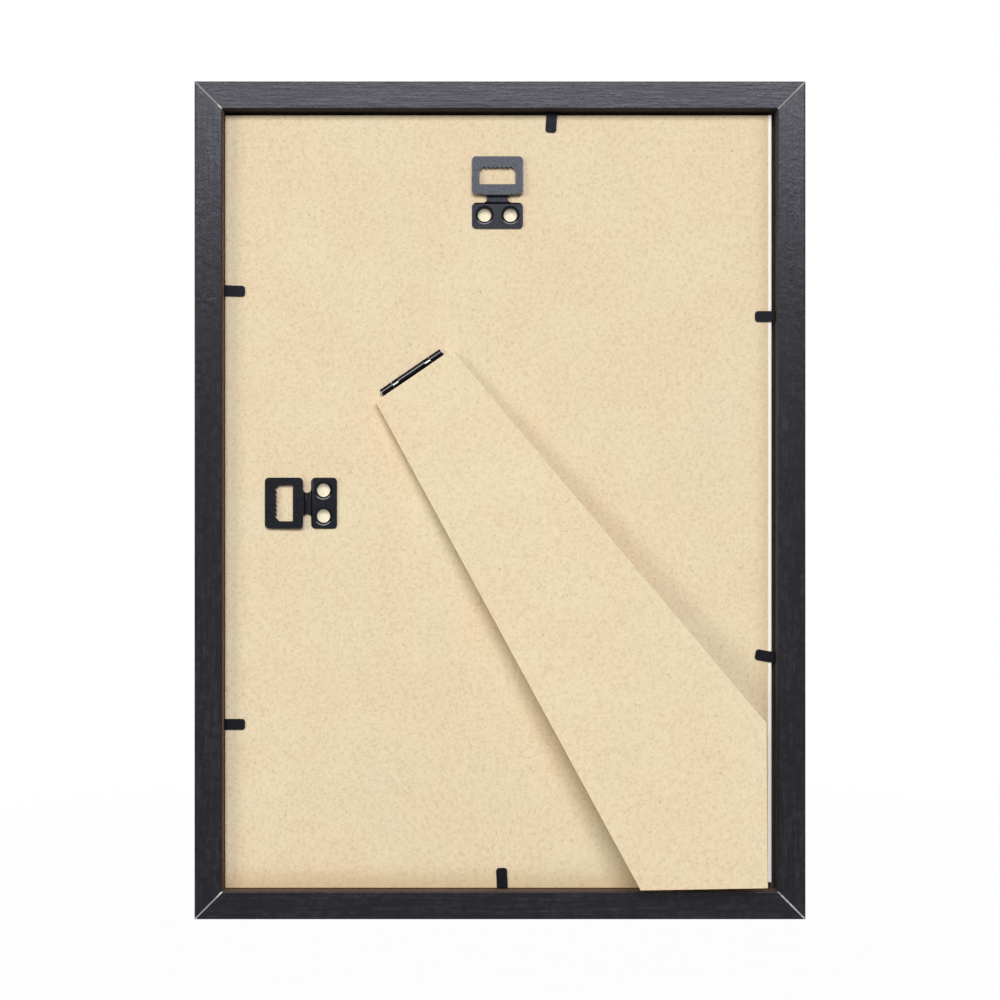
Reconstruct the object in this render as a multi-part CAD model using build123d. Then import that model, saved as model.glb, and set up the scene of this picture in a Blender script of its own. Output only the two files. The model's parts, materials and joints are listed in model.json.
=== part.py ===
from build123d import *

import os
from math import asin, cos, degrees, radians, sin, tan

# Easel back photo frame for one A4 sheet, standing upright: X across, Y from the front to the back
# and Z up. The origin is the middle of the underside. Left and right are as seen from behind.

# Sheet that the frame is made for, the play around it in the rebate, and its turned-up margin
PAPER_WIDTH = 210.0
PAPER_HEIGHT = 297.0
PAPER_THICKNESS = 0.4
REBATE_PLAY_ACROSS = 3.3
REBATE_PLAY_UP = 3.5
SEAT_GAP = 0.3
LAYER_GAP = 0.05
PAPER_SLIP_UP = 2.1
MARGIN_WIDTH = 1.3
MARGIN_SINK = 0.3

# Moulding: a rail with a rebate behind its front lip, mitred at the corners
RAIL_BACK_WIDTH = 10.7
RAIL_DEPTH = 16.0
LIP_WIDTH = 5.0
LIP_DEPTH = 4.0
ARRIS_RADIUS = 0.5
MITRE_GROOVE = 0.3

# V-nails, sunk in the mitres from behind
VNAIL_LEG = 4.5
VNAIL_GAUGE = 0.4
VNAIL_HEIGHT = 8.0
VNAIL_INSET = 4.0
VNAIL_SINK = 1.5

# Glass and backing board
GLASS_THICKNESS = 2.0
BOARD_THICKNESS = 3.0
BOARD_PLAY_ACROSS = 3.2
BOARD_PLAY_UP = 1.6

# Collars drawn from the sheet steel, pressed through the board and flared on its front side
COLLAR_BORE_RADIUS = 2.6
COLLAR_WALL = 0.5
COLLAR_FIT = 0.05
COLLAR_DISH = 1.0
FLARE_WIDTH = 0.8
FLARE_RECESS = 0.1
FLARE_CLEARANCE = 0.2

# Saw-tooth hanger, bent from one blank
HANGER_GAUGE = 0.8
HANGER_WIDTH = 19.7
HANGER_BASE_LENGTH = 9.9
HANGER_HOLE_ROW = 5.3
HANGER_HOLE_SPACING = 10.0
HANGER_NECK_LENGTH = 3.1
HANGER_NECK_WIDTH = 8.0
HANGER_LOOP_LENGTH = 14.8
HANGER_CORNER = 1.6
HANGER_RISE = 1.8
HANGER_LOOP_TILT = 4.0
HANGER_STEP_LENGTH = 0.6
HANGER_BEND_RADIUS = 0.4
WINDOW_WIDTH = 14.0
WINDOW_HEIGHT = 6.9
WINDOW_SILL = 3.9
WINDOW_CHAMFER = 1.6
TOOTH_COUNT = 6
TOOTH_PITCH = 1.7
TOOTH_DEPTH = 0.7
TOP_HANGER_INSET = 39.85
TOP_HANGER_OFFSET = -1.0
SIDE_HANGER_INSET = 38.3
SIDE_HANGER_OFFSET = -1.1

# Strut hinge: its place from the middle of the frame, its slant and its opening from flat
HINGE_ACROSS = -34.1
HINGE_UP = 49.3
HINGE_SLANT = 34.3
OPEN_ANGLE = 32.0
REST_ANGLE = 5.0
PIN_RADIUS = 0.5
PIN_FIT = 0.05
PIN_HEAD_RADIUS = 0.9
PIN_HEAD_LENGTH = 0.4
PIN_HEAD_CHAMFER = 0.25
PIN_END_PLAY = 0.1
MIDDLE_KNUCKLE = 12.3
OUTER_KNUCKLE = 5.25
KNUCKLE_GAP = 2.6
KNUCKLE_SIDE_GAP = 0.2
FIXED_LEAF_GAUGE = 0.8
STRUT_LEAF_GAUGE = 0.6
LEAF_GAP = 0.2
LEAF_RELIEF = 0.5
LEAF_CORNER = 3.0
FIXED_LEAF_LENGTH = 22.0
STRUT_LEAF_LENGTH = 20.0
LEAF_COLLAR_SPACING = 15.0
LEAF_COLLAR_REACH = 13.0
STOP_TOE_MARGIN = 0.1
BED_MARGIN = 0.25
STOP_GAP = 0.05
PRONG_WIDTH = 3.0
PRONG_HEIGHT = 2.0
PRONG_REACHES = (7.0, 15.0)

# Strut, folded flat: its top edge, its widening sides and its two feet
STRUT_THICKNESS = 3.0
STRUT_TOP_WIDTH = 35.6
STRUT_TAPER = 5.65
FOOT_SIDE_GAP = 5.6
FOOT_END_GAP = 3.85
FOOT_SLOPE = 1.4

# Flexible tabs, with the shank of each driven into the rebate wall
TAB_WIDTH = 4.2
TAB_GAUGE = 0.5
TAB_REACH = 8.0
TAB_LIFT = 0.15
TAB_ROOT_GAP = 0.1
TAB_TIP_RADIUS = 1.2
SHANK_POINT = 2.0
SHANK_COVER = 3.7

# Each tab: its wall, its place along that wall from the middle, and its slant in degrees
TABS = {
    "flex_tab_top": ("top", 20.1, 4.0),
    "flex_tab_bottom": ("bottom", 0.9, -2.7),
    "flex_tab_left_upper": ("left", 81.1, 2.0),
    "flex_tab_left_lower": ("left", -86.7, 0.0),
    "flex_tab_right_upper": ("right", 71.1, 0.0),
    "flex_tab_right_lower": ("right", -60.9, 10.0),
}

# Worked-out sizes
rebate_width = PAPER_WIDTH + REBATE_PLAY_ACROSS
rebate_height = PAPER_HEIGHT + REBATE_PLAY_UP
outer_width = rebate_width + 2 * RAIL_BACK_WIDTH
outer_height = rebate_height + 2 * RAIL_BACK_WIDTH
front_y = -RAIL_DEPTH / 2
back_y = RAIL_DEPTH / 2
glass_y = front_y + LIP_DEPTH
paper_y = glass_y + GLASS_THICKNESS + LAYER_GAP
board_y = paper_y + PAPER_THICKNESS + LAYER_GAP
board_back_y = board_y + BOARD_THICKNESS
board_width = rebate_width - BOARD_PLAY_ACROSS
board_across = SEAT_GAP - BOARD_PLAY_ACROSS / 2
paper_drop = SEAT_GAP - REBATE_PLAY_UP / 2
collar_radius = COLLAR_BORE_RADIUS + COLLAR_WALL
flare_pocket = COLLAR_WALL + FLARE_RECESS
knuckle_bore = PIN_RADIUS + PIN_FIT
fixed_knuckle_radius = knuckle_bore + FIXED_LEAF_GAUGE
strut_knuckle_radius = knuckle_bore + STRUT_LEAF_GAUGE
hinge_length = MIDDLE_KNUCKLE + 2 * (KNUCKLE_GAP + OUTER_KNUCKLE)
axis_height = fixed_knuckle_radius
stop_toe_reach = axis_height + STOP_TOE_MARGIN
leaf_start = fixed_knuckle_radius + LEAF_RELIEF
strut_leaf_height = FIXED_LEAF_GAUGE + LEAF_GAP
strut_height = strut_leaf_height + STRUT_LEAF_GAUGE
tab_root = TAB_GAUGE / 2 + TAB_ROOT_GAP


def back_view(depth):
    """Place for a drawing across the frame, as seen from behind, from the middle of the frame."""
    plane = Plane(origin=(0, depth, outer_height / 2), x_dir=(-1, 0, 0), z_dir=(0, 1, 0))
    return plane.location


board_face = back_view(board_back_y)
top_hanger_seat = board_face * Pos(TOP_HANGER_OFFSET, rebate_height / 2 - TOP_HANGER_INSET)
side_hanger_place = Pos(SIDE_HANGER_INSET - rebate_width / 2, SIDE_HANGER_OFFSET)
side_hanger_seat = board_face * side_hanger_place * Rot(0, 0, 90)
hinge_seat = board_face * Pos(HINGE_ACROSS, HINGE_UP) * Rot(0, 0, HINGE_SLANT)
hanger_holes = [Pos(side * HANGER_HOLE_SPACING / 2, 0) for side in (-1, 1)]
leaf_holes = [Pos(side * LEAF_COLLAR_SPACING / 2, -LEAF_COLLAR_REACH) for side in (-1, 1)]


def rail_section():
    """Moulding section: x runs in from the outer side, y runs from the front face to the back."""
    lip_edge = RAIL_BACK_WIDTH + LIP_WIDTH
    section = Polygon(
        (0, 0),
        (lip_edge, 0),
        (lip_edge, LIP_DEPTH),
        (RAIL_BACK_WIDTH, LIP_DEPTH),
        (RAIL_BACK_WIDTH, RAIL_DEPTH),
        (0, RAIL_DEPTH),
        align=None,
    )
    rows = section.vertices().group_by(Axis.Y)
    return fillet(rows[0] + rows[-1], ARRIS_RADIUS)


def mitred_rail(length):
    """A rail along x with its outer side on z = 0, mitred, and grooved where the foil ends at a mitre."""
    half = length / 2
    width = RAIL_BACK_WIDTH + LIP_WIDTH
    groove_length = 4 * width
    start = Plane(origin=(-half, front_y, 0), x_dir=(0, 0, -1), z_dir=(1, 0, 0))
    bar = extrude(start * rail_section(), amount=length)
    outline = Polygon((-half, 0), (half, 0), (half - width, -width), (width - half, -width), align=None)
    rail = bar & extrude(Plane.XZ * outline, amount=RAIL_DEPTH, both=True)
    groove_side = MITRE_GROOVE * 2**0.5
    for end in (-1, 1):
        mitre = Plane(origin=(end * half, back_y, 0), x_dir=(-end, 0, -1), z_dir=(0, 1, 0))
        rail -= mitre.location * Rot(45, 0, 0) * Box(groove_length, groove_side, groove_side)
    return rail


def corner_v_nails():
    """One bent steel V-nail in each mitre, its apex on the joint and a leg along each rail."""
    section = Polygon(
        (0, 0),
        (VNAIL_LEG, 0),
        (VNAIL_LEG, VNAIL_GAUGE),
        (VNAIL_GAUGE, VNAIL_GAUGE),
        (VNAIL_GAUGE, VNAIL_LEG),
        (0, VNAIL_LEG),
        align=None,
    )
    nail = extrude(section, amount=VNAIL_HEIGHT)
    foot = back_view(back_y - VNAIL_SINK - VNAIL_HEIGHT)
    nails = []
    for across, up, turn in ((-1, -1, 0), (1, -1, 90), (1, 1, 180), (-1, 1, 270)):
        corner = Pos(across * (outer_width / 2 - VNAIL_INSET), up * (outer_height / 2 - VNAIL_INSET))
        nails.append(foot * corner * Rot(0, 0, turn) * nail)
    return nails


def sheet(width, height, thickness, depth, across=0.0, up=0.0):
    """Flat rectangular sheet in the rebate, with its front face at the given depth."""
    return extrude(back_view(depth) * Pos(across, up) * Rectangle(width, height), amount=thickness)


def photo_insert():
    """Sheet behind the glass, slipped up, with its right margin turned up beside the board."""
    up = paper_drop + PAPER_SLIP_UP
    turn = board_across + board_width / 2 + LAYER_GAP
    rise = board_back_y - MARGIN_SINK - paper_y
    flat_width = PAPER_WIDTH - rise - MARGIN_WIDTH
    flat_across = turn + PAPER_THICKNESS - flat_width / 2
    margin_y = paper_y + rise - PAPER_THICKNESS
    flat = sheet(flat_width, PAPER_HEIGHT, PAPER_THICKNESS, paper_y, flat_across, up)
    riser = sheet(PAPER_THICKNESS, PAPER_HEIGHT, rise, paper_y, turn + PAPER_THICKNESS / 2, up)
    margin = sheet(MARGIN_WIDTH, PAPER_HEIGHT, PAPER_THICKNESS, margin_y, turn + MARGIN_WIDTH / 2, up)
    return flat + riser + margin


def backing_board():
    """Board that leans on the left and bottom rebate walls, pierced for the pressed collars."""
    board = sheet(
        board_width,
        rebate_height - BOARD_PLAY_UP,
        BOARD_THICKNESS,
        board_y,
        board_across,
        SEAT_GAP - BOARD_PLAY_UP / 2,
    )
    hole = Pos(0, 0, -BOARD_THICKNESS / 2) * Cylinder(collar_radius + COLLAR_FIT, BOARD_THICKNESS)
    pocket_radius = collar_radius + FLARE_WIDTH + FLARE_CLEARANCE
    pocket = Pos(0, 0, flare_pocket / 2 - BOARD_THICKNESS) * Cylinder(pocket_radius, flare_pocket)
    hanger_seats = (top_hanger_seat, side_hanger_seat)
    collars = [seat * place for seat in hanger_seats for place in hanger_holes]
    collars += [hinge_seat * place for place in leaf_holes]
    for place in collars:
        board -= place * hole
        board -= place * pocket
    return board


def pressed_collars(plate, gauge, holes):
    """Draws a collar down from a plate at each hole, dished above and flared at its far end."""
    flare_top = flare_pocket - BOARD_THICKNESS
    tube = Pos(0, 0, flare_top / 2) * Cylinder(collar_radius, -flare_top)
    flare = Pos(0, 0, flare_top - COLLAR_WALL / 2) * Cylinder(collar_radius + FLARE_WIDTH, COLLAR_WALL)
    bore = Pos(0, 0, -BOARD_THICKNESS / 2) * Cylinder(COLLAR_BORE_RADIUS, 2 * BOARD_THICKNESS)
    dish = Pos(0, 0, gauge / 2) * Cone(COLLAR_BORE_RADIUS, COLLAR_BORE_RADIUS + COLLAR_DISH, gauge)
    for place in holes:
        plate += place * (tube + flare)
    for place in holes:
        plate -= place * (bore + dish)
    return plate


def hanger_window():
    """Window of the hanger, toothed along its far edge and cut off at that edge's two corners."""
    half = WINDOW_WIDTH / 2
    sill = HANGER_BASE_LENGTH - HANGER_HOLE_ROW + HANGER_NECK_LENGTH + WINDOW_SILL
    head = sill + WINDOW_HEIGHT
    teeth = []
    for step in range(2 * TOOTH_COUNT + 1):
        along = (TOOTH_COUNT - step) * TOOTH_PITCH / 2
        teeth.append((along, head - TOOTH_DEPTH * (step % 2)))
    return Polygon(
        (-half, sill),
        (half, sill),
        (half, head - WINDOW_CHAMFER),
        (half - WINDOW_CHAMFER, head),
        *teeth,
        (WINDOW_CHAMFER - half, head),
        (-half, head - WINDOW_CHAMFER),
        align=None,
    )


def hanger():
    """Saw-tooth hanger on z = 0, its row of holes on y = 0 and its raised loop towards +y."""
    base_top = HANGER_BASE_LENGTH - HANGER_HOLE_ROW
    neck_top = base_top + HANGER_NECK_LENGTH
    loop_top = neck_top + HANGER_LOOP_LENGTH
    fall = HANGER_LOOP_LENGTH * tan(radians(HANGER_LOOP_TILT))
    path = Polyline(
        (-HANGER_HOLE_ROW, 0),
        (base_top, 0),
        (base_top + HANGER_STEP_LENGTH, HANGER_RISE / 2),
        (neck_top - HANGER_STEP_LENGTH, HANGER_RISE / 2),
        (neck_top, HANGER_RISE),
        (loop_top, HANGER_RISE - fall),
    )
    section = make_face(offset(path, HANGER_GAUGE, kind=Kind.INTERSECTION, side=Side.LEFT, closed=True))
    section = fillet(section.vertices().sort_by(Axis.X)[2:-2], HANGER_BEND_RADIUS)
    bent_strip = extrude(Plane.YZ * section, amount=HANGER_WIDTH / 2, both=True)

    base = Pos(0, base_top - HANGER_BASE_LENGTH / 2) * RectangleRounded(
        HANGER_WIDTH, HANGER_BASE_LENGTH, HANGER_CORNER
    )
    loop = Pos(0, neck_top + HANGER_LOOP_LENGTH / 2) * RectangleRounded(
        HANGER_WIDTH, HANGER_LOOP_LENGTH, HANGER_CORNER
    )
    neck_middle = base_top + HANGER_NECK_LENGTH / 2
    notch_radius = HANGER_NECK_LENGTH / 2
    neck = Pos(0, neck_middle) * Rectangle(HANGER_NECK_WIDTH + HANGER_NECK_LENGTH, HANGER_NECK_LENGTH)
    for side in (-1, 1):
        neck -= Pos(side * (HANGER_NECK_WIDTH / 2 + notch_radius), neck_middle) * Circle(notch_radius)
    blank = base + neck + loop - hanger_window()
    blank_height = 2 * (HANGER_RISE + HANGER_GAUGE)
    plate = bent_strip & extrude(blank, amount=blank_height, both=True)
    return pressed_collars(plate, HANGER_GAUGE, hanger_holes)


def knuckle(radius, length, along):
    """Rolled knuckle on the hinge axis, its middle at the given place along that axis."""
    return Pos(along, 0, axis_height) * Rot(0, 90, 0) * Cylinder(radius, length)


def leaf_plate(length, height, gauge):
    """Flat of a hinge leaf below the knuckles, rounded at its far corners."""
    outline = Pos(0, -(leaf_start + length) / 2) * Rectangle(hinge_length, length - leaf_start)
    outline = fillet(outline.vertices().group_by(Axis.Y)[0], LEAF_CORNER)
    return Pos(0, 0, height) * extrude(outline, amount=gauge)


def knuckle_tongue(length, along, height, gauge):
    """Short tongue of a leaf from its flat up to the knuckle that is rolled from it."""
    return Pos(along, -leaf_start / 2, height + gauge / 2) * Box(length, leaf_start, gauge)


def hinge_fixed_leaf():
    """Leaf pressed on the board under the strut, with the middle knuckle and a thin bed under its gaps."""
    bed_length = MIDDLE_KNUCKLE + 2 * (KNUCKLE_GAP - KNUCKLE_SIDE_GAP)
    bed_gauge = FIXED_LEAF_GAUGE - LEAF_GAP
    bed_edge = fixed_knuckle_radius + BED_MARGIN
    bed_middle = Pos(0, (bed_edge - leaf_start) / 2, bed_gauge / 2)
    leaf = leaf_plate(FIXED_LEAF_LENGTH, 0, FIXED_LEAF_GAUGE)
    leaf += bed_middle * Box(bed_length, bed_edge + leaf_start, bed_gauge)
    leaf += knuckle_tongue(MIDDLE_KNUCKLE, 0, 0, FIXED_LEAF_GAUGE)
    leaf += knuckle(fixed_knuckle_radius, MIDDLE_KNUCKLE, 0)
    leaf -= knuckle(knuckle_bore, hinge_length, 0)
    return pressed_collars(leaf, FIXED_LEAF_GAUGE, leaf_holes)


def hinge_strut_leaf():
    """Leaf under the folded strut: two outer knuckles with stop toes, and prongs up into the strut."""
    toe_angle = degrees(asin((axis_height - STOP_GAP) / stop_toe_reach)) - OPEN_ANGLE
    toe_middle = Pos(0, stop_toe_reach / 2, STRUT_LEAF_GAUGE / 2)
    leaf = leaf_plate(STRUT_LEAF_LENGTH, strut_leaf_height, STRUT_LEAF_GAUGE)
    for side in (-1, 1):
        along = side * (hinge_length - OUTER_KNUCKLE) / 2
        leaf += knuckle_tongue(OUTER_KNUCKLE, along, strut_leaf_height, STRUT_LEAF_GAUGE)
        leaf += knuckle(strut_knuckle_radius, OUTER_KNUCKLE, along)
        toe = toe_middle * Box(OUTER_KNUCKLE, stop_toe_reach, STRUT_LEAF_GAUGE)
        leaf += Pos(along, 0, axis_height) * Rot(-toe_angle, 0, 0) * toe
        for reach in PRONG_REACHES:
            prong_edge = side * (hinge_length - STRUT_LEAF_GAUGE) / 2
            prong = Box(STRUT_LEAF_GAUGE, PRONG_WIDTH, PRONG_HEIGHT)
            leaf += Pos(prong_edge, -reach, strut_height + PRONG_HEIGHT / 2) * prong
    return leaf - knuckle(knuckle_bore, hinge_length, 0)


def hinge_pin():
    """Steel pin through the knuckles, peened over to a low head at each end."""
    shank_length = hinge_length + 2 * PIN_END_PLAY
    pin = knuckle(PIN_RADIUS, shank_length, 0)
    for side in (-1, 1):
        head = Cylinder(PIN_HEAD_RADIUS, PIN_HEAD_LENGTH)
        head = chamfer(head.edges().group_by(Axis.Z)[-1], PIN_HEAD_CHAMFER)
        place = Pos(side * (shank_length + PIN_HEAD_LENGTH) / 2, 0, axis_height)
        pin += place * Rot(0, side * 90, 0) * head
    return pin


def strut():
    """Strut folded flat behind the board, cut off level at the foot for each way of standing."""
    half_top = STRUT_TOP_WIDTH / 2
    reach = outer_height
    half_end = half_top + (reach - leaf_start) * tan(radians(STRUT_TAPER))
    blade = Polygon(
        (half_top, -leaf_start),
        (-half_top, -leaf_start),
        (-half_end, -reach),
        (half_end, -reach),
        align=None,
    )
    side_foot = rebate_width / 2 - FOOT_SIDE_GAP
    end_foot = FOOT_END_GAP - rebate_height / 2
    far_foot = end_foot - (side_foot + outer_width / 2) * tan(radians(FOOT_SLOPE))
    floor_lines = Polygon(
        (side_foot, outer_height / 2),
        (-outer_width / 2, outer_height / 2),
        (-outer_width / 2, far_foot),
        (side_foot, end_foot),
        align=None,
    )
    outline = (Pos(HINGE_ACROSS, HINGE_UP) * Rot(0, 0, HINGE_SLANT) * blade) & floor_lines
    return board_face * Pos(0, 0, strut_height) * extrude(outline, amount=STRUT_THICKNESS)


def opened(folded, angle):
    """Swings a piece of the strut out from the board about the hinge axis."""
    axis = hinge_seat * Pos(0, 0, axis_height)
    return axis * Rot(-angle, 0, 0) * axis.inverse() * folded


def tab_seat(wall, along):
    """Place on a rebate wall for a tab: x along the wall, y in from it, z out from the board."""
    across_wall = rebate_width / 2
    up_wall = rebate_height / 2
    seats = {
        "bottom": Pos(along, -up_wall) * Rot(0, 0, 0),
        "right": Pos(across_wall, along) * Rot(0, 0, 90),
        "top": Pos(along, up_wall) * Rot(0, 0, 180),
        "left": Pos(-across_wall, along) * Rot(0, 0, 270),
    }
    return board_face * seats[wall] * Pos(0, 0, TAB_LIFT + TAB_GAUGE / 2)


def tab_blade(slant):
    """Blade of a tab, slanted along its wall, with a round root on the line where the tab bends."""
    lean = radians(slant)
    half = TAB_WIDTH / 2
    root_half = half / cos(lean)
    tip_along = (TAB_REACH - tab_root) * sin(lean)
    tip_in = tab_root + (TAB_REACH - tab_root) * cos(lean)
    outline = Polygon(
        (-root_half, tab_root),
        (root_half, tab_root),
        (tip_along + half * cos(lean), tip_in - half * sin(lean)),
        (tip_along - half * cos(lean), tip_in + half * sin(lean)),
        align=None,
    )
    outline = fillet(outline.vertices().sort_by(Axis.Y)[-2:], TAB_TIP_RADIUS)
    blade = Pos(0, 0, -TAB_GAUGE / 2) * extrude(outline, amount=TAB_GAUGE)
    root = Pos(0, tab_root, 0) * Rot(0, 90, 0) * Cylinder(TAB_GAUGE / 2, 2 * root_half)
    return blade + root


def tab_shank():
    """Pointed shank of a tab, driven into the rail up to the face of the rebate wall."""
    half = TAB_WIDTH / 2
    depth = RAIL_BACK_WIDTH - SHANK_COVER
    outline = Polygon(
        (-half, 0),
        (-half, SHANK_POINT - depth),
        (0, -depth),
        (half, SHANK_POINT - depth),
        (half, 0),
        align=None,
    )
    return Pos(0, 0, -TAB_GAUGE / 2) * extrude(outline, amount=TAB_GAUGE)


v_nails = corner_v_nails()
shanks = [tab_seat(wall, along) * tab_shank() for wall, along, slant in TABS.values()]
side_rail = mitred_rail(outer_height)
end_rail = mitred_rail(outer_width)
rails = {
    "rail_top": Pos(0, 0, outer_height) * end_rail,
    "rail_bottom": Rot(0, 180, 0) * end_rail,
    "rail_left": Pos(outer_width / 2, 0, outer_height / 2) * Rot(0, 90, 0) * side_rail,
    "rail_right": Pos(-outer_width / 2, 0, outer_height / 2) * Rot(0, -90, 0) * side_rail,
}

nodes = {name: rail - v_nails - shanks for name, rail in rails.items()}
nodes["corner_v_nails"] = Compound(v_nails)
nodes["glazing"] = sheet(PAPER_WIDTH, PAPER_HEIGHT, GLASS_THICKNESS, glass_y, 0, paper_drop)
nodes["photo_insert"] = photo_insert()
nodes["backing_board"] = backing_board()
nodes["hanger_top"] = top_hanger_seat * hanger()
nodes["hanger_side"] = side_hanger_seat * hanger()
nodes["hinge_fixed_leaf"] = hinge_seat * hinge_fixed_leaf()
nodes["hinge_pin"] = hinge_seat * hinge_pin()
folded_leaf = hinge_seat * hinge_strut_leaf()
nodes["hinge_strut_leaf"] = opened(folded_leaf, REST_ANGLE)
nodes["strut"] = opened(strut() - folded_leaf, REST_ANGLE)
for name, (wall, along, slant) in TABS.items():
    nodes[name] = tab_seat(wall, along) * tab_blade(slant)
nodes["flex_tab_shanks"] = Compound(shanks)

os.makedirs("parts", exist_ok=True)
for name, shape in nodes.items():
    export_step(shape, f"parts/{name}.step")
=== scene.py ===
import json
from math import atan, atan2, radians

import bpy
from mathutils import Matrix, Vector


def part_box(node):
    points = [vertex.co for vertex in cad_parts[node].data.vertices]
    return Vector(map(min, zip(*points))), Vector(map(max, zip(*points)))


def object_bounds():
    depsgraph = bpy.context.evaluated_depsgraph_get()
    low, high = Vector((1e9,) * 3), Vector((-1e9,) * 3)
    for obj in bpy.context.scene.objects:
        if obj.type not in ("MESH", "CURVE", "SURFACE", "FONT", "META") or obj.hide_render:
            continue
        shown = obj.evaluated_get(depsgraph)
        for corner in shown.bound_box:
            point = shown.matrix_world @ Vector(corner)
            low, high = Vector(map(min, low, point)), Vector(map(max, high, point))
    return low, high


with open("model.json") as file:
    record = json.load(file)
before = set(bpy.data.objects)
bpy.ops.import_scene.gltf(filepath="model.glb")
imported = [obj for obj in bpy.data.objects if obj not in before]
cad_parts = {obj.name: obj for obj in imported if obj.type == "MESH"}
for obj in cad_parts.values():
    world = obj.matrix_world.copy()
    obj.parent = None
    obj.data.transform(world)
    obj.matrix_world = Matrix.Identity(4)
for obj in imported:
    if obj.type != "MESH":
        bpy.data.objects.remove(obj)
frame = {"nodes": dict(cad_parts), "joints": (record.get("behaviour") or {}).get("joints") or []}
cad_low, cad_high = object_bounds()
pieces = frame["nodes"]


# Moulding: four mitred rails of pressed fibreboard, wrapped in black foil with a fine lengthwise
# grain. The saw leaves the brown core bare in the rebate, and the foil's pale paper at the mitres.
FOIL_BLACK = (23, 22, 28)
FOIL_STREAK = (53, 52, 60)
FOIL_RUBBED = (92, 90, 94)
FOIL_SHEEN = (240, 242, 255)
# Ground, fibre, dust and blush of each bare wall of the rebate. All four show one brown core; the tones are
# lit and shaded copies of it, with the top and right walls painted dark as shade.
LIT_AND_SHADED_WALL_TONES = {
    "rail_top": ((46, 37, 35), (30, 24, 22), (55, 46, 43), (50, 41, 38)),
    "rail_bottom": ((108, 89, 77), (64, 50, 42), (134, 114, 101), (98, 80, 69)),
    "rail_left": ((118, 99, 84), (70, 55, 44), (142, 122, 106), (106, 87, 72)),
    "rail_right": ((72, 67, 69), (46, 42, 43), (88, 83, 86), (64, 59, 61)),
}
PAPER_EDGE = (158, 157, 163)
PAPER_EDGE_BARE = (240, 239, 244)
FOIL_GLOSS = 0.198
FOIL_WEAR_REACH = 0.0005
FOIL_WEAR_SHARE = 0.35
FOIL_RELIEF = 0.00018
STREAK_LENGTHS_PER_M = 70
STREAK_WIDTHS_PER_M = 950
BAND_LENGTHS_PER_M = 14
BAND_WIDTHS_PER_M = 240
PORES_PER_M = 430
WORN_PATCHES_PER_M = 420
CLOUDS_PER_M = 34
BLOTCHES_PER_M = 30
MOTTLES_PER_M = 560
GRITS_PER_M = 1150
# Turn, lengths and widths per metre, and share of each set of strands
STRAND_SETS = ((0.6, 420, 2600, 0.34), (-0.9, 380, 2400, 0.3), (1.9, 460, 2800, 0.3))
FLECK_TURN = 0.9
FLECKS_PER_M = (170, 330, 330)
FIBRE_WEAR_REACH = 0.0007
FIBRE_WEAR_SHARE = 0.8
FIBRE_RELIEF = 0.00015
FIBRE_ROUGHNESS = 0.86
FIBRE_GLOSS = 0.15
WALL_ROUGH = 0.5
PAPER_CHIPS_PER_M = 190
PAPER_GRAINS_PER_M = 2600
PAPER_RELIEF = 0.0001
PAPER_ROUGHNESS = 0.8
SLANTED = 0.3
SQUARE_ON = 0.9


def paint(red, green, blue):
    """Colour as the eye sees it, from 0 to 255, in the linear form that a shader takes."""
    shares = [level / 255 for level in (red, green, blue)]
    return (*[s / 12.92 if s <= 0.04045 else ((s + 0.055) / 1.055) ** 2.4 for s in shares], 1.0)


def add(tree, kind, inputs=None, **settings):
    """Adds a shader node with its settings. Each input is a plain value, or an output to join to it."""
    made = tree.nodes.new("ShaderNode" + kind)
    for name, value in settings.items():
        setattr(made, name, value)
    for socket, value in (inputs or {}).items():
        if isinstance(value, bpy.types.NodeSocket):
            tree.links.new(value, made.inputs[socket])
        else:
            made.inputs[socket].default_value = value
    return made


def noise(tree, place, scale, detail=3.0, roughness=0.55):
    """Soft noise from 0 to 1, at that many waves for each metre."""
    inputs = {"Vector": place, "Scale": scale, "Detail": detail, "Roughness": roughness}
    return add(tree, "TexNoise", inputs).outputs["Fac"]


def stretched(tree, place, turn, scale):
    """Place turned and stretched, for streaks and fibres."""
    turned = add(tree, "Mapping", {"Vector": place, "Rotation": turn})
    return add(tree, "Mapping", {"Vector": turned.outputs["Vector"], "Scale": scale}).outputs["Vector"]


def ramp(tree, value, low, high, start=0.0, end=1.0):
    """Value from low to high, spread smoothly from start to end and held there."""
    inputs = {"Value": value, "From Min": low, "From Max": high, "To Min": start, "To Max": end}
    return add(tree, "MapRange", inputs, interpolation_type="SMOOTHSTEP").outputs["Result"]


def times(tree, first, second):
    """Product of two values."""
    return add(tree, "Math", {0: first, 1: second}, operation="MULTIPLY").outputs["Value"]


def tinted(tree, share, ground, tint):
    """Ground colour, with a share of the tint laid over it."""
    return add(tree, "Mix", {0: share, 6: ground, 7: tint}, data_type="RGBA").outputs[2]


def new_group(name, inputs, outputs):
    """Shader node group with named inputs and outputs, and the nodes inside it that hold them."""
    group = bpy.data.node_groups.new(name, "ShaderNodeTree")
    for socket, kind in inputs.items():
        group.interface.new_socket(socket, in_out="INPUT", socket_type="NodeSocket" + kind)
    for socket, kind in outputs.items():
        group.interface.new_socket(socket, in_out="OUTPUT", socket_type="NodeSocket" + kind)
    given = group.nodes.new("NodeGroupInput")
    result = group.nodes.new("NodeGroupOutput")
    return group, given.outputs, result.inputs


def new_material(name):
    """Empty material, its tree, its Principled shader, and the place on the piece in metres."""
    material = bpy.data.materials.new(name)
    material.use_nodes = True
    tree = material.node_tree
    place = add(tree, "TexCoord").outputs["Object"]
    return material, tree, tree.nodes["Principled BSDF"], place


def placed(tree, group, inputs):
    """Group placed in a material, with its own values."""
    holder = add(tree, "Group", node_tree=group)
    for socket, value in inputs.items():
        if isinstance(value, bpy.types.NodeSocket):
            tree.links.new(value, holder.inputs[socket])
        else:
            holder.inputs[socket].default_value = value
    return holder.outputs


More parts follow.
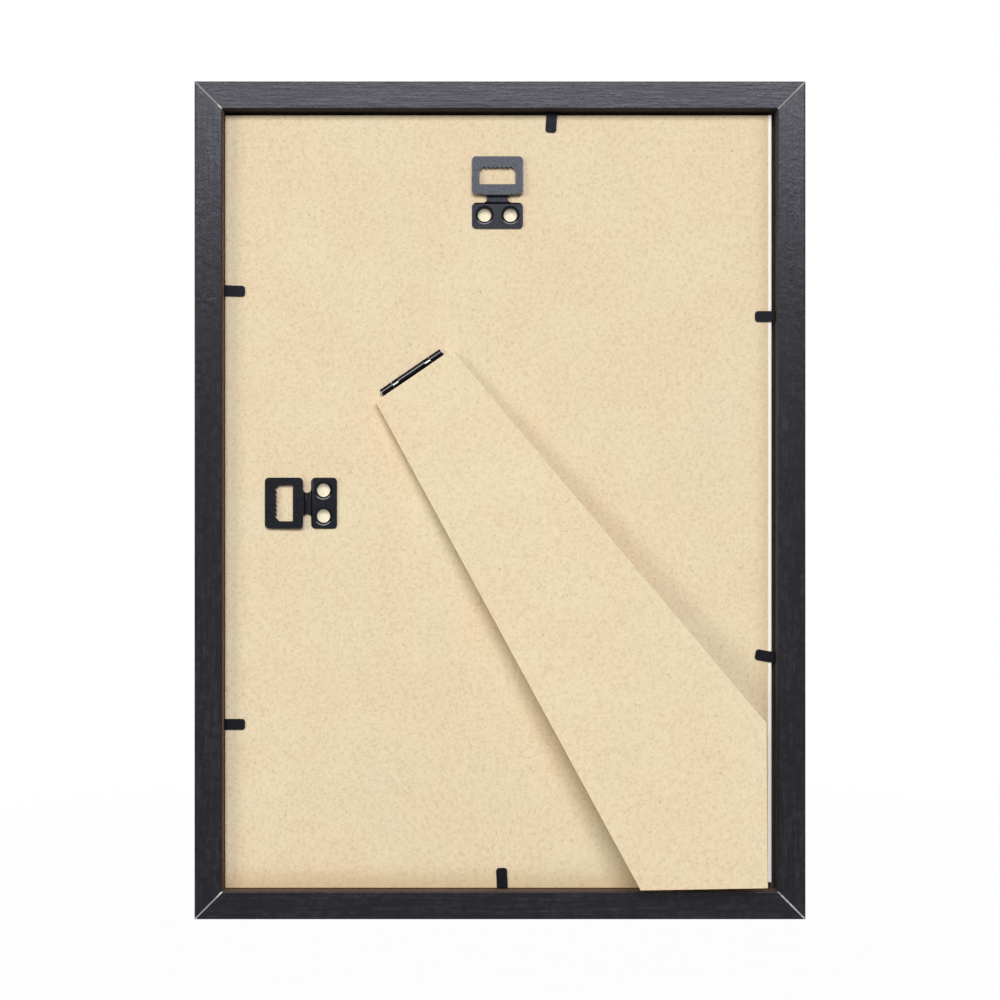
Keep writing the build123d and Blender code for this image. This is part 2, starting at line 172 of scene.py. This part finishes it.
def bump(tree, shader, height, strength, depth):
    """Fine relief on the shader's surface, that many metres deep."""
    relief = add(tree, "Bump", {"Height": height, "Strength": strength, "Distance": depth})
    tree.links.new(relief.outputs["Normal"], shader.inputs["Normal"])


edge_wear, given, result = new_group("edge_wear", {"Place": "Vector", "Reach": "Float"}, {"Worn": "Float"})
rounded = add(edge_wear, "Bevel", {"Radius": given["Reach"]}, samples=6).outputs["Normal"]
flat = add(edge_wear, "NewGeometry").outputs["Normal"]
facing = add(edge_wear, "VectorMath", {0: rounded, 1: flat}, operation="DOT_PRODUCT").outputs["Value"]
on_edge = ramp(edge_wear, facing, 0.985, 0.86)
patches = ramp(edge_wear, noise(edge_wear, given["Place"], WORN_PATCHES_PER_M, 4), 0.38, 0.62)
edge_wear.links.new(times(edge_wear, on_edge, patches), result["Worn"])

foil_grain, given, result = new_group(
    "foil_grain",
    {"Place": "Vector", "Turn": "Vector", "Black": "Color", "Streak": "Color"},
    {"Colour": "Color", "Roughness": "Float", "Height": "Float"},
)
thread_scale = (STREAK_LENGTHS_PER_M, STREAK_WIDTHS_PER_M, STREAK_WIDTHS_PER_M)
band_scale = (BAND_LENGTHS_PER_M, BAND_WIDTHS_PER_M, BAND_WIDTHS_PER_M)
threads = noise(foil_grain, stretched(foil_grain, given["Place"], given["Turn"], thread_scale), 1, 4, 0.65)
bands = noise(foil_grain, stretched(foil_grain, given["Place"], given["Turn"], band_scale), 1, 3)
pores = noise(foil_grain, given["Place"], PORES_PER_M, 4, 0.6)
streaks = ramp(foil_grain, threads, 0.34, 0.72)
streaks = times(foil_grain, streaks, ramp(foil_grain, bands, 0.25, 0.75, 0.35, 1.0))
streaks = times(foil_grain, streaks, ramp(foil_grain, pores, 0.38, 0.6, 0.2, 1.15))
foil_grain.links.new(tinted(foil_grain, streaks, given["Black"], given["Streak"]), result["Colour"])
foil_grain.links.new(ramp(foil_grain, threads, 0.3, 0.75, 0.24, 0.14), result["Roughness"])
foil_grain.links.new(times(foil_grain, threads, pores), result["Height"])


def black_foil(name, turn):
    """Black foil with its grain turned along a rail, rubbed paler here and there on its arrises."""
    material, tree, shader, place = new_material(name)
    inputs = {"Place": place, "Turn": turn, "Black": paint(*FOIL_BLACK), "Streak": paint(*FOIL_STREAK)}
    grain = placed(tree, foil_grain, inputs)
    worn = placed(tree, edge_wear, {"Place": place, "Reach": FOIL_WEAR_REACH})["Worn"]
    rubbed = tinted(tree, times(tree, worn, FOIL_WEAR_SHARE), grain["Colour"], paint(*FOIL_RUBBED))
    tree.links.new(rubbed, shader.inputs["Base Color"])
    tree.links.new(grain["Roughness"], shader.inputs["Roughness"])
    shader.inputs["Specular IOR Level"].default_value = FOIL_GLOSS
    shader.inputs["Specular Tint"].default_value = paint(*FOIL_SHEEN)
    bump(tree, shader, grain["Height"], 0.65, FOIL_RELIEF)
    return material


fibre_speckle, given, result = new_group(
    "fibre_speckle",
    {"Place": "Vector", "Ground": "Color", "Fibre": "Color", "Dust": "Color", "Blush": "Color"},
    {"Colour": "Color", "Height": "Float"},
)
place = given["Place"]
cloud = noise(fibre_speckle, place, CLOUDS_PER_M, 3)
blotches = noise(fibre_speckle, place, BLOTCHES_PER_M, 2)
mottle = noise(fibre_speckle, place, MOTTLES_PER_M, 5, 0.64)
grit = noise(fibre_speckle, place, GRITS_PER_M, 2)
dusted = ramp(fibre_speckle, cloud, 0.35, 0.65, 0.0, 0.34)
shade = tinted(fibre_speckle, dusted, given["Ground"], given["Dust"])
shade = tinted(fibre_speckle, ramp(fibre_speckle, blotches, 0.35, 0.65, 0.0, 0.9), shade, given["Blush"])
shade = tinted(fibre_speckle, ramp(fibre_speckle, mottle, 0.45, 0.68, 0.0, 0.38), shade, given["Dust"])
shade = tinted(fibre_speckle, ramp(fibre_speckle, mottle, 0.54, 0.3, 0.0, 0.18), shade, given["Fibre"])
shade = tinted(fibre_speckle, ramp(fibre_speckle, grit, 0.48, 0.24, 0.0, 0.3), shade, given["Fibre"])
for turn, lengths_per_m, widths_per_m, share in STRAND_SETS:
    strand_scale = (lengths_per_m, widths_per_m, widths_per_m)
    strands = noise(fibre_speckle, stretched(fibre_speckle, place, (0, turn, 0), strand_scale), 1, 2)
    shown = ramp(fibre_speckle, strands, 0.66, 0.78, 0.0, share)
    shade = tinted(fibre_speckle, shown, shade, given["Fibre"])
fleck_place = stretched(fibre_speckle, place, (0, FLECK_TURN, 0), FLECKS_PER_M)
cells = add(fibre_speckle, "TexVoronoi", {"Vector": fleck_place, "Scale": 1})
chosen = add(fibre_speckle, "SeparateColor", {"Color": cells.outputs["Color"]}).outputs["Red"]
flecks = times(
    fibre_speckle,
    ramp(fibre_speckle, cells.outputs["Distance"], 0.16, 0.04),
    ramp(fibre_speckle, chosen, 0.74, 0.95),
)
shade = tinted(fibre_speckle, times(fibre_speckle, flecks, 0.5), shade, given["Fibre"])
fibre_speckle.links.new(shade, result["Colour"])
fibre_speckle.links.new(mottle, result["Height"])


def fibreboard(name, ground, fibre, dust, blush, rough, painted_shade=None):
    """Matt pressed fibreboard in four tones, with that share of relief and any painted shade on it."""
    material, tree, shader, place = new_material(name)
    tones = {"Ground": paint(*ground), "Fibre": paint(*fibre), "Dust": paint(*dust), "Blush": paint(*blush)}
    speckle = placed(tree, fibre_speckle, {"Place": place, **tones})
    worn = placed(tree, edge_wear, {"Place": place, "Reach": FIBRE_WEAR_REACH})["Worn"]
    tone = tinted(tree, times(tree, worn, FIBRE_WEAR_SHARE), speckle["Colour"], paint(*dust))
    if painted_shade:
        tone = tinted(tree, painted_shade(tree, place), tone, paint(*fibre))
    tree.links.new(tone, shader.inputs["Base Color"])
    shader.inputs["Roughness"].default_value = FIBRE_ROUGHNESS
    shader.inputs["Specular IOR Level"].default_value = FIBRE_GLOSS
    bump(tree, shader, speckle["Height"], rough, FIBRE_RELIEF)
    return material


def mitre_paper():
    """Paper ply of the foil, bared along a mitre and brightest where the foil has chipped."""
    material, tree, shader, place = new_material("mitre_paper")
    chips = ramp(tree, noise(tree, place, PAPER_CHIPS_PER_M, 4), 0.46, 0.7)
    tone = tinted(tree, chips, paint(*PAPER_EDGE), paint(*PAPER_EDGE_BARE))
    tree.links.new(tone, shader.inputs["Base Color"])
    shader.inputs["Roughness"].default_value = PAPER_ROUGHNESS
    bump(tree, shader, noise(tree, place, PAPER_GRAINS_PER_M, 3), 0.4, PAPER_RELIEF)
    return material


bared_paper = mitre_paper()
level_foil = black_foil("black_foil_level", (0, 0, 0))
upright_foil = black_foil("black_foil_upright", (0, radians(90), 0))
inward_of = {
    "rail_top": Vector((0, 0, -1)),
    "rail_bottom": Vector((0, 0, 1)),
    "rail_left": Vector((-1, 0, 0)),
    "rail_right": Vector((1, 0, 0)),
}
lip_back_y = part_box("glazing")[0].y
for name, inward in inward_of.items():
    rail = pieces[name]
    rail.data.materials.clear()
    foil = level_foil if inward.z else upright_foil
    # Each wall's core carries its own painted light and shade.
    core = fibreboard(name.replace("rail", "wall"), *LIT_AND_SHADED_WALL_TONES[name], WALL_ROUGH)
    for material in (foil, core, bared_paper):
        rail.data.materials.append(material)
    for face in rail.data.polygons:
        across_mitre = abs(face.normal.x) > SLANTED and abs(face.normal.z) > SLANTED
        in_rebate = face.center.y > lip_back_y and face.normal.dot(inward) > SQUARE_ON
        behind_lip = face.center.y < 0 and face.normal.y > SQUARE_ON
        if across_mitre and face.normal.y > SLANTED:
            face.material_index = 2
        elif across_mitre or in_rebate or behind_lip:
            face.material_index = 1
        else:
            face.material_index = 0


# V-nails: bright steel strips bent to a V, driven into the back of each mitre and sunk below it.
# The hinge pin is drawn from the same bare steel.
STEEL_BRIGHT = (214, 214, 218)
STEEL_DULL = (150, 150, 156)
STEEL_LINES_PER_M = (150, 5200, 5200)
STEEL_RELIEF = 0.00002

pin_axis = next(joint["axis"] for joint in frame["joints"] if joint["name"] == "strut_hinge")
pin_turn = atan2(pin_axis[2], pin_axis[0])


def drawn_steel():
    """Bare steel, a little dulled, with the fine lines of drawing along the pin."""
    material, tree, shader, place = new_material("drawn_steel")
    lines = noise(tree, stretched(tree, place, (0, pin_turn, 0), STEEL_LINES_PER_M), 1, 3)
    tone = tinted(tree, lines, paint(*STEEL_BRIGHT), paint(*STEEL_DULL))
    tree.links.new(tone, shader.inputs["Base Color"])
    tree.links.new(ramp(tree, lines, 0.3, 0.7, 0.22, 0.4), shader.inputs["Roughness"])
    shader.inputs["Metallic"].default_value = 1.0
    bump(tree, shader, lines, 0.2, STEEL_RELIEF)
    return material


steel = drawn_steel()
for name in ("corner_v_nails", "hinge_pin"):
    pieces[name].data.materials.clear()
    pieces[name].data.materials.append(steel)


# Glass: a sheet of clear float glass, cut to the rebate and laid on the front lip.
# The insert and the board lie behind it and hold it there.
GLASS_TINT = (251, 253, 252)
GLASS_INDEX = 1.52
WIPE_TURN = 0.5
WIPES_PER_M = (26, 140, 140)


def float_glass():
    """Clear glass with faint wiping marks."""
    material, tree, shader, place = new_material("float_glass")
    wiped = noise(tree, stretched(tree, place, (0, WIPE_TURN, 0), WIPES_PER_M), 1, 4)
    tree.links.new(ramp(tree, wiped, 0.45, 0.75, 0.005, 0.05), shader.inputs["Roughness"])
    shader.inputs["Base Color"].default_value = paint(*GLASS_TINT)
    shader.inputs["IOR"].default_value = GLASS_INDEX
    shader.inputs["Transmission Weight"].default_value = 1.0
    return material


pieces["glazing"].data.materials.clear()
pieces["glazing"].data.materials.append(float_glass())


# Insert: a sheet of white card behind the glass, which a photo takes the place of.
# One margin is turned up, and shows as a white line beside the board.
CARD_WHITE = (244, 236, 229)
CARD_FIBRE = (232, 223, 215)
CARD_BACK = (252, 233, 203)
CARD_BACK_FADE = 0.001
CARD_FIBRES_PER_M = 900
CARD_RELIEF = 0.00004
CARD_ROUGHNESS = 0.62
CARD_GLOSS = 0.3
CARD_GLOW_SHARE = 0.6
CARD_GLOW_DEPTH = 0.001
CARD_GLOW_TONE = (1.0, 0.96, 0.9)
CARD_PAINTED_GLOW = (255, 250, 238)
CARD_PAINTED_GLOW_STRENGTH = 0.17


def white_card():
    """Smooth white card, cream behind the board, with a faint formation of fibres and a faint painted glow.
    """
    material, tree, shader, place = new_material("white_card")
    fibres = noise(tree, place, CARD_FIBRES_PER_M, 5, 0.7)
    facing = add(tree, "SeparateXYZ", {"Vector": add(tree, "TexCoord").outputs["Normal"]}).outputs["Y"]
    across = add(tree, "SeparateXYZ", {"Vector": place}).outputs["X"]
    board_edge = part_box("backing_board")[0].x
    covered = ramp(tree, across, board_edge, board_edge + CARD_BACK_FADE)
    behind = times(tree, ramp(tree, facing, 0.3, 0.6), covered)
    tone = tinted(tree, behind, paint(*CARD_WHITE), paint(*CARD_BACK))
    tone = tinted(tree, ramp(tree, fibres, 0.5, 0.75, 0.0, 0.5), tone, paint(*CARD_FIBRE))
    tree.links.new(tone, shader.inputs["Base Color"])
    shader.inputs["Roughness"].default_value = CARD_ROUGHNESS
    shader.inputs["Specular IOR Level"].default_value = CARD_GLOSS
    shader.inputs["Subsurface Weight"].default_value = CARD_GLOW_SHARE
    shader.inputs["Subsurface Radius"].default_value = CARD_GLOW_TONE
    shader.inputs["Subsurface Scale"].default_value = CARD_GLOW_DEPTH
    # The card glows a little: painted light that brightens its turned-up margin and what shows through the
    # holes.
    shader.inputs["Emission Color"].default_value = paint(*CARD_PAINTED_GLOW)
    shader.inputs["Emission Strength"].default_value = CARD_PAINTED_GLOW_STRENGTH
    bump(tree, shader, fibres, 0.15, CARD_RELIEF)
    return material


pieces["photo_insert"].data.materials.clear()
pieces["photo_insert"].data.materials.append(white_card())


# Backing board: thin pale fibreboard, sawn to size and pierced for the collars of the fittings.
# The tabs hold it in the rebate, where it leans on the left and bottom walls.
BOARD_GROUND = (236, 222, 193)
BOARD_FIBRE = (180, 150, 100)
BOARD_DUST = (244, 230, 199)
BOARD_BLUSH = (239, 218, 188)
SAWN_GROUND = (244, 227, 194)
SAWN_FIBRE = (212, 186, 142)
SAWN_DUST = (254, 243, 220)
SAWN_BLUSH = (246, 224, 194)
FACE_ROUGH = 0.3
SAWN_ROUGH = 0.7
# Painted shade along the board's lower and right edges, beside the rebate walls: its share and widths
EDGE_SHADE_SHARE = 0.42
EDGE_SHADE_WIDTH_LOW = 0.014
EDGE_SHADE_WIDTH_RIGHT = 0.008

board_tones = (BOARD_GROUND, BOARD_FIBRE, BOARD_DUST, BOARD_BLUSH)
sawn_tones = (SAWN_GROUND, SAWN_FIBRE, SAWN_DUST, SAWN_BLUSH)


def painted_edge_shade(tree, place):
    """Share of painted shade along the lower and the right edge of the board, beside the rebate walls."""
    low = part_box("backing_board")[0]
    spot = add(tree, "SeparateXYZ", {"Vector": place}).outputs
    near_low = ramp(tree, spot["Z"], low.z + EDGE_SHADE_WIDTH_LOW, low.z)
    near_right = ramp(tree, spot["X"], low.x + EDGE_SHADE_WIDTH_RIGHT, low.x, 0.0, 0.8)
    near = add(tree, "Math", {0: near_low, 1: near_right}, operation="MAXIMUM").outputs["Value"]
    return times(tree, times(tree, near, near), EDGE_SHADE_SHARE)


edge_shaded_face = fibreboard("edge_shaded_fibreboard", *board_tones, FACE_ROUGH, painted_edge_shade)
board_face = fibreboard("pale_fibreboard", *board_tones, FACE_ROUGH)
sawn_edge = fibreboard("sawn_fibreboard", *sawn_tones, SAWN_ROUGH)


def dress_board(board, face_material, normal):
    """Gives a board its smooth faces, square to the normal, and its rougher sawn edges."""
    board.data.materials.clear()
    board.data.materials.append(face_material)
    board.data.materials.append(sawn_edge)
    for face in board.data.polygons:
        face.material_index = 0 if abs(face.normal.dot(normal)) > SQUARE_ON else 1


dress_board(pieces["backing_board"], edge_shaded_face, Vector((0, 1, 0)))


# Hangers: two saw-tooth hangers pressed from sheet steel and lacquered black, one for each way up.
# Hollow collars drawn from the sheet go through the board and are flared on its far side.
LACQUER_BLACK = (9, 9, 13)
LACQUER_GREY = (18, 19, 26)
LACQUER_WORN = (104, 106, 114)
# Pale tone of the painted highlights on the hinge knuckles and the hangers' dished holes
LACQUER_HIGHLIGHT = (168, 168, 176)
LACQUER_SHEEN = (232, 238, 255)
LACQUER_WEAR_REACH = 0.00025
LACQUER_RELIEF = 0.00004
PEELS_PER_M = 1300
HAZES_PER_M = 170
PRESSED_ARRIS = 0.00015
PLATE_GAUGE = 0.0008
LIP_HIGHLIGHT_DEPTH = 0.00034


def black_lacquer(name, roughness, gloss, worn_share, marks=None):
    """Black lacquer on steel: a faint orange peel, worn edges, and any painted highlight over it."""
    material, tree, shader, place = new_material(name)
    peel = noise(tree, place, PEELS_PER_M, 3)
    haze = ramp(tree, noise(tree, place, HAZES_PER_M, 4), 0.35, 0.7)
    worn = placed(tree, edge_wear, {"Place": place, "Reach": LACQUER_WEAR_REACH})["Worn"]
    coat = tinted(tree, haze, paint(*LACQUER_BLACK), paint(*LACQUER_GREY))
    coat = tinted(tree, times(tree, worn, worn_share), coat, paint(*LACQUER_WORN))
    # The marks are painted highlights, laid over the lacquer in this pale tone.
    if marks:
        coat = tinted(tree, marks(tree, place), coat, paint(*LACQUER_HIGHLIGHT))
    tree.links.new(coat, shader.inputs["Base Color"])
    uneven = ramp(tree, peel, 0.3, 0.7, roughness - 0.06, roughness + 0.08)
    tree.links.new(uneven, shader.inputs["Roughness"])
    shader.inputs["Specular IOR Level"].default_value = gloss
    shader.inputs["Specular Tint"].default_value = paint(*LACQUER_SHEEN)
    bump(tree, shader, peel, 0.15, LACQUER_RELIEF)
    return material


def painted_lip_highlight(tree, place):
    """Share of painted highlight round the lower lip of each dished hole, where the steel looks up."""
    facing = add(tree, "SeparateXYZ", {"Vector": add(tree, "NewGeometry").outputs["Normal"]}).outputs
    depth = add(tree, "SeparateXYZ", {"Vector": place}).outputs["Y"]
    plate_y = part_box("backing_board")[1].y + PLATE_GAUGE
    near_lip = ramp(tree, depth, plate_y - LIP_HIGHLIGHT_DEPTH, plate_y - LIP_HIGHLIGHT_DEPTH / 2)
    looks_up = ramp(tree, facing["Z"], 0.3, 0.55)
    looks_back = ramp(tree, facing["Y"], 0.5, 0.7)
    return times(tree, near_lip, times(tree, looks_up, looks_back))


def broken_edges(piece, width, material=-1):
    """Takes the sharp edges off a piece by that width, in metres."""
    piece.modifiers.new("joined", "WELD").merge_threshold = 1e-6
    edges = piece.modifiers.new("broken_edges", "BEVEL")
    edges.width = width
    edges.segments = 2
    edges.limit_method = "ANGLE"
    edges.angle_limit = radians(50)
    edges.harden_normals = True
    edges.material = material


# The hangers carry a painted highlight round the lower lip of each dished hole.
lacquer = black_lacquer("black_lacquer", roughness=0.21, gloss=0.19, worn_share=0.2, marks=painted_lip_highlight)
for name in ("hanger_top", "hanger_side"):
    pieces[name].data.materials.clear()
    pieces[name].data.materials.append(lacquer)
    broken_edges(pieces[name], PRESSED_ARRIS)


# Strut hinge: two leaves of lacquered sheet steel, rolled to knuckles round the steel pin.
# Collars hold one leaf to the board, and prongs hold the other under the strut.
across_pin = (-pin_axis[2], 0, pin_axis[0])


def painted_crest_highlight(tree, place):
    """Share of painted highlight along the knuckles, in a line on the side that looks up."""
    inputs = {0: add(tree, "TexCoord").outputs["Normal"], 1: across_pin}
    turned = add(tree, "VectorMath", inputs, operation="DOT_PRODUCT").outputs["Value"]
    return times(tree, ramp(tree, turned, 0.12, 0.24), ramp(tree, turned, 0.44, 0.32))


# The knuckles carry a painted highlight, a pale line along their upper side.
glossy_lacquer = black_lacquer(
    "glossy_black_lacquer", roughness=0.14, gloss=0.1, worn_share=0.1, marks=painted_crest_highlight
)
for name in ("hinge_fixed_leaf", "hinge_strut_leaf"):
    pieces[name].data.materials.clear()
    pieces[name].data.materials.append(glossy_lacquer)


# Strut: a tapered leg sawn from the same fibreboard, cut off level for both ways of standing.
# It folds flat against the board and swings out on the hinge.
SAWN_ARRIS = 0.0003

widest = max(pieces["strut"].data.polygons, key=lambda face: face.area)
dress_board(pieces["strut"], board_face, widest.normal.copy())
broken_edges(pieces["strut"], SAWN_ARRIS, 1)


# Flexible tabs: strips of black sheet steel, driven into the rebate walls and bent down on the board.
# They bend up by hand when the board is taken out.
tab_lacquer = black_lacquer("matt_black_lacquer", roughness=0.42, gloss=0.1, worn_share=0.08)
for name, piece in pieces.items():
    if name.startswith("flex_tab"):
        piece.data.materials.clear()
        piece.data.materials.append(tab_lacquer)


# Studio: a floor that shows white, a wide soft light from above and behind the camera, a weaker
# warm one from the left, and one on the glazed side. The camera looks straight at the back, as
# high as the frame's middle.
FLOOR_SIZE = 8.0
FLOOR_TONE = (70, 69, 67)
FLOOR_NEAR_WHITE = 0.98
FLOOR_FADE = (0.12, 0.5)
FLOOR_GRAINS_PER_M = 60
AMBIENT = 0.08
AMBIENT_WARM = (1.0, 0.88, 0.62, 1.0)
KEY_PLACE = (-0.4, 10.4, 4.07)
KEY_SIZE = (6.8, 3.9)
KEY_POWER = 948.0
KEY_TONE = (1.0, 1.0, 1.0)
LEFT_PLACE = (4.2, 4.2, 1.2)
LEFT_SIZE = (2.5, 2.0)
LEFT_POWER = 101.0
LEFT_TONE = (1.0, 0.91, 0.72)
FRONT_PLACE = (0.5, -1.6, 2.6)
FRONT_SIZE = (3.2, 2.0)
FRONT_POWER = 124.0
FRONT_TONE = (1.0, 1.0, 1.0)
VIEW_DISTANCE = 0.780
VIEW_ACROSS = 0.3839
VIEW_SHIFT = (0.0, 0.0001)
SENSOR_MM = 36.0

frame_middle = (cad_low.z + cad_high.z) / 2
rear_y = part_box("rail_top")[1].y


def seen_white(tree):
    """One for rays from the camera, in a reflection or through glass, which see the white ground."""
    path = add(tree, "LightPath").outputs
    seen = add(tree, "Math", {0: path["Is Camera Ray"], 1: path["Is Glossy Ray"]}, operation="MAXIMUM")
    inputs = {0: seen.outputs["Value"], 1: path["Is Transmission Ray"]}
    return add(tree, "Math", inputs, operation="MAXIMUM").outputs["Value"]


def white_floor():
    """Wide floor that shows white, throws little light back and keeps the object's shadow."""
    bpy.ops.mesh.primitive_plane_add(size=FLOOR_SIZE)
    floor = bpy.context.object
    floor.name = "floor"
    material, tree, shader, place = new_material("white_floor")
    grain = ramp(tree, noise(tree, place, FLOOR_GRAINS_PER_M, 4), 0.3, 0.7, 0.0, 0.2)
    tree.links.new(tinted(tree, grain, paint(*FLOOR_TONE), (1, 1, 1, 1)), shader.inputs["Base Color"])
    shader.inputs["Roughness"].default_value = 0.9
    shader.inputs["Specular IOR Level"].default_value = 0.0
    white = add(tree, "Emission", {"Color": (1, 1, 1, 1), "Strength": 1.0})
    away = add(tree, "VectorMath", {0: place}, operation="LENGTH").outputs["Value"]
    share = times(tree, seen_white(tree), ramp(tree, away, *FLOOR_FADE, FLOOR_NEAR_WHITE, 1.0))
    mixed = add(tree, "MixShader", {0: share, 1: shader.outputs["BSDF"], 2: white.outputs["Emission"]})
    tree.links.new(mixed.outputs["Shader"], tree.nodes["Material Output"].inputs["Surface"])
    floor.data.materials.append(material)


def white_surround():
    """World that shows white and gives an even, weaker light from all round."""
    world = bpy.data.worlds.new("white_surround")
    world.use_nodes = True
    tree = world.node_tree
    white = seen_white(tree)
    strength = add(tree, "Mix", {0: white, 2: AMBIENT, 3: 1.0}, data_type="FLOAT").outputs[0]
    ground = tree.nodes["Background"]
    tree.links.new(tinted(tree, white, AMBIENT_WARM, (1, 1, 1, 1)), ground.inputs["Color"])
    tree.links.new(strength, ground.inputs["Strength"])
    bpy.context.scene.world = world


def soft_light(name, place, size, power, tone):
    """Rectangular soft light turned to the frame's middle."""
    lamp = bpy.data.lights.new(name, "AREA")
    lamp.shape = "RECTANGLE"
    lamp.size, lamp.size_y = size
    lamp.energy = power
    lamp.color = tone
    holder = bpy.data.objects.new(name, lamp)
    holder.location = place
    towards = Vector((0, 0, frame_middle)) - holder.location
    holder.rotation_euler = towards.to_track_quat("-Z", "Y").to_euler()
    bpy.context.scene.collection.objects.link(holder)


white_floor()
white_surround()
soft_light("key_light", KEY_PLACE, KEY_SIZE, KEY_POWER, KEY_TONE)
soft_light("left_light", LEFT_PLACE, LEFT_SIZE, LEFT_POWER, LEFT_TONE)
soft_light("front_light", FRONT_PLACE, FRONT_SIZE, FRONT_POWER, FRONT_TONE)

eye = bpy.data.cameras.new("camera")
eye.sensor_width = SENSOR_MM
eye.angle = 2 * atan(VIEW_ACROSS / 2 / VIEW_DISTANCE)
camera = bpy.data.objects.new("camera", eye)
camera.location = (VIEW_SHIFT[0], rear_y + VIEW_DISTANCE, frame_middle + VIEW_SHIFT[1])
camera.rotation_euler = (radians(90), 0, radians(180))
bpy.context.scene.collection.objects.link(camera)
bpy.context.scene.camera = camera
bpy.context.scene.view_settings.view_transform = "Standard"
